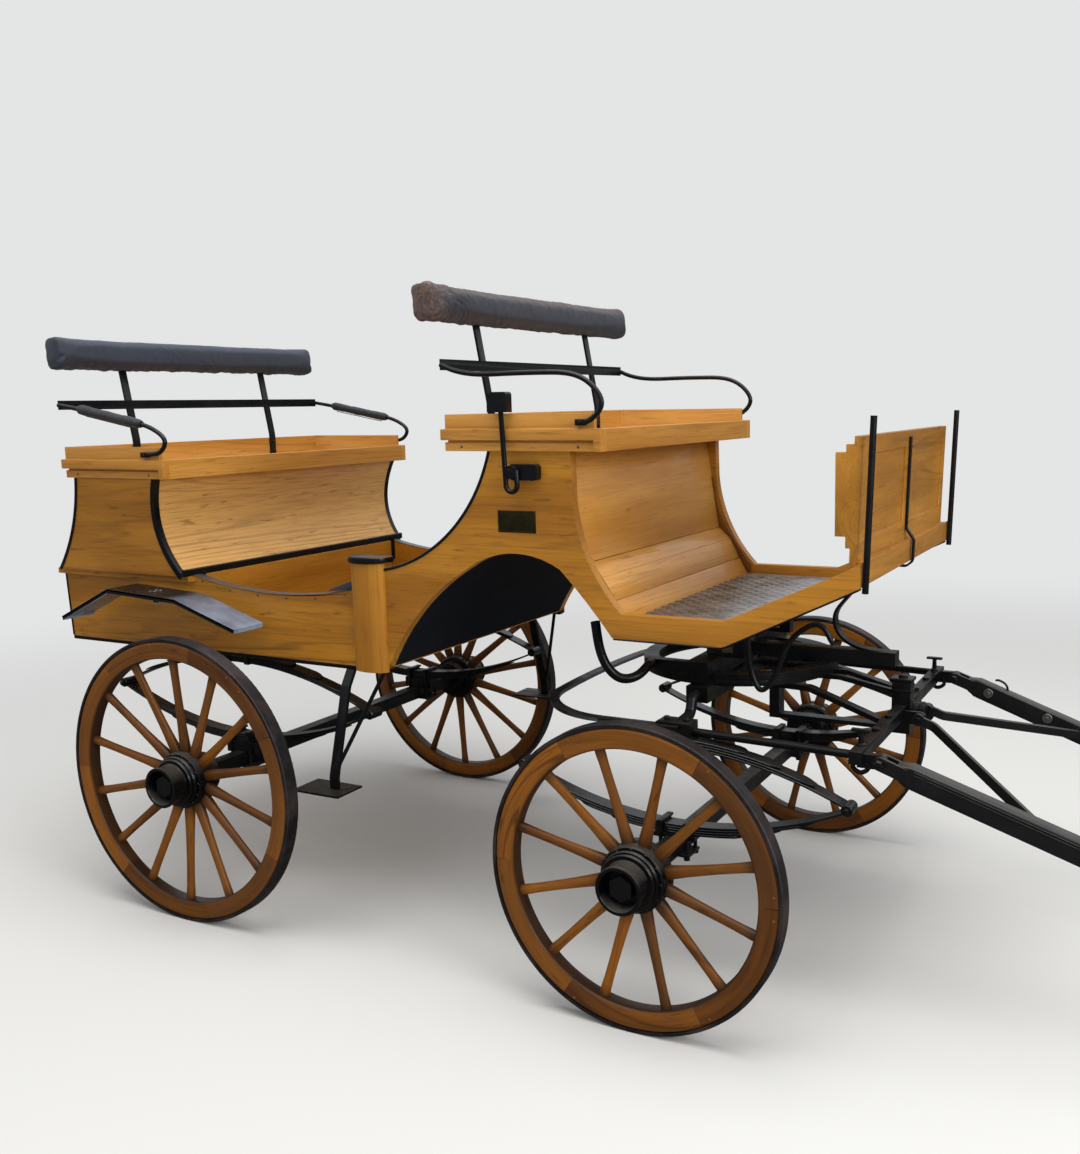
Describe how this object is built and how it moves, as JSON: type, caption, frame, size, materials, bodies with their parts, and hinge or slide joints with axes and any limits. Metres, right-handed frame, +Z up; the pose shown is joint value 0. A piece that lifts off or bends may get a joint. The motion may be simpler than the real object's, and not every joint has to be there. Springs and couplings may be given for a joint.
{
  "type": "horse-drawn carriage",
  "caption": "Open four-wheeled wagonette with two bench seats, cut-under body, elliptic springs, turntable steering, leaning dash and shafts on the ground.",
  "frame": {"origin": "centre of the bounding box, on the ground", "axes": "+X forwards, +Y to the carriage's left, +Z up"},
  "size_m": [4.757, 1.656, 1.903],
  "materials": {
    "tyre_iron": "dull",
    "wheel_wood": "varnished",
    "hub_iron": "satin",
    "body_wood": "varnished",
    "black_paint": "satin",
    "mat_rubber": "matte",
    "black_iron": "satin",
    "spring_steel": "satin",
    "shaft_wood": "painted",
    "brown_leather": "worn",
    "black_leather": "satin"
  },
  "bodies": {
    "body": {"body_side_right": "body_wood", "body_side_left": "body_wood", "pillars": "body_wood", "rear_floor": "body_wood", "tail_board": "body_wood", "rear_seat_kickboard": "body_wood", "rear_seat_box": "body_wood", "front_seat_tray": "body_wood", "rear_seat_tray": "body_wood", "front_seat_back_board": "body_wood", "front_seat_riser": "body_wood", "footboard": "body_wood", "dash_panel": "body_wood", "toe_board": "body_wood", "arch_lining": "black_paint", "footboard_mat": "mat_rubber", "dash_irons": "black_iron", "dash_strap": "black_iron", "mudguards": "black_iron", "entry_steps": "black_iron", "turntable_upper": "black_iron", "front_backrest_irons": "black_iron", "rear_backrest_irons": "black_iron", "brake_boss": "black_iron", "rear_axle": "black_iron", "rear_spring_right": "spring_steel", "rear_spring_left": "spring_steel", "front_backrest_roll": "brown_leather", "rear_backrest_roll": "black_leather"},
    "fore_carriage": {"turntable_lower": "black_iron", "fore_irons": "black_iron", "draught_frame": "black_iron", "front_axle": "black_iron", "front_spring_right": "spring_steel", "front_spring_left": "spring_steel"},
    "shaft_right": {"shaft_right": "shaft_wood"},
    "shaft_left": {"shaft_left": "shaft_wood"},
    "brake_lever": {"brake_lever": "black_iron"},
    "front_wheel_right": {"front_wheel_right_tyre": "tyre_iron", "front_wheel_right_wood": "wheel_wood", "front_wheel_right_hub": "hub_iron"},
    "front_wheel_left": {"front_wheel_left_tyre": "tyre_iron", "front_wheel_left_wood": "wheel_wood", "front_wheel_left_hub": "hub_iron"},
    "rear_wheel_right": {"rear_wheel_right_tyre": "tyre_iron", "rear_wheel_right_wood": "wheel_wood", "rear_wheel_right_hub": "hub_iron"},
    "rear_wheel_left": {"rear_wheel_left_tyre": "tyre_iron", "rear_wheel_left_wood": "wheel_wood", "rear_wheel_left_hub": "hub_iron"}
  },
  "joints": [
    {"name": "steering", "type": "hinge", "parent": "body", "child": "fore_carriage", "pos_m": [-0.0885, 0, 0.79], "axis": [0, 0, 1], "range_deg": [-45, 45]},
    {"name": "front_wheel_right_spin", "type": "hinge", "parent": "fore_carriage", "child": "front_wheel_right", "pos_m": [-0.0885, -0.744, 0.4], "axis": [0, 1, 0], "continuous": true},
    {"name": "rear_wheel_right_spin", "type": "hinge", "parent": "body", "child": "rear_wheel_right", "pos_m": [-1.6335, -0.744, 0.446], "axis": [0, 1, 0], "continuous": true},
    {"name": "shaft_right_lift", "type": "hinge", "parent": "fore_carriage", "child": "shaft_right", "pos_m": [0.4595, -0.47, 0.69], "axis": [0, -1, 0], "range_deg": [0, 60]},
    {"name": "front_wheel_left_spin", "type": "hinge", "parent": "fore_carriage", "child": "front_wheel_left", "pos_m": [-0.0885, 0.744, 0.4], "axis": [0, 1, 0], "continuous": true},
    {"name": "rear_wheel_left_spin", "type": "hinge", "parent": "body", "child": "rear_wheel_left", "pos_m": [-1.6335, 0.744, 0.446], "axis": [0, 1, 0], "continuous": true},
    {"name": "shaft_left_lift", "type": "hinge", "parent": "fore_carriage", "child": "shaft_left", "pos_m": [0.4595, 0.47, 0.69], "axis": [0, -1, 0], "range_deg": [0, 60]},
    {"name": "brake_pull", "type": "hinge", "parent": "body", "child": "brake_lever", "pos_m": [-0.5305, -0.517, 1.39], "axis": [0, -1, 0], "range_deg": [0, 25]}
  ]
}
